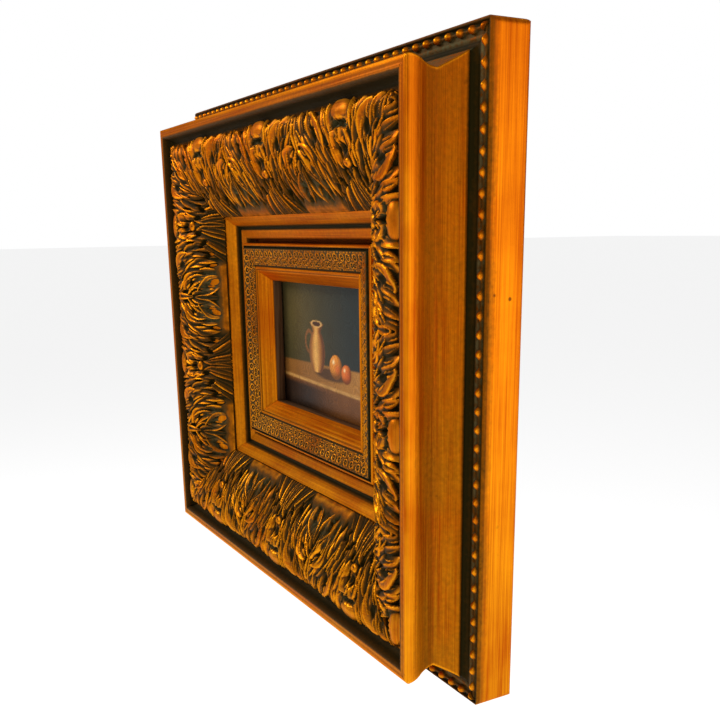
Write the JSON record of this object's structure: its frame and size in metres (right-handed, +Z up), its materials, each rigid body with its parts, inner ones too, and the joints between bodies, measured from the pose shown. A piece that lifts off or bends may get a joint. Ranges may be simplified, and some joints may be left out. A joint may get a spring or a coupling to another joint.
{
  "type": "framed picture",
  "caption": "Small framed still life: a deep gilded moulding with carved acanthus and a bead row around a narrow inner frame and a painted panel, made to hang on a wall",
  "frame": {"origin": "on the flat back of the top rail at mid-width, where the frame hangs", "axes": "+X to the right along the long side, +Y back into the wall, +Z up; the picture faces -Y"},
  "size_m": [0.318, 0.048, 0.28],
  "materials": {
    "outer_gilding": "satin",
    "inner_gilding": "satin",
    "painting": "satin"
  },
  "bodies": {
    "root": {"outer_rail_top": "outer_gilding", "outer_rail_bottom": "outer_gilding", "outer_rail_left": "outer_gilding", "outer_rail_right": "outer_gilding", "inner_rail_top": "inner_gilding", "inner_rail_bottom": "inner_gilding", "inner_rail_left": "inner_gilding", "inner_rail_right": "inner_gilding", "painted_panel": "painting"}
  },
  "joints": []
}
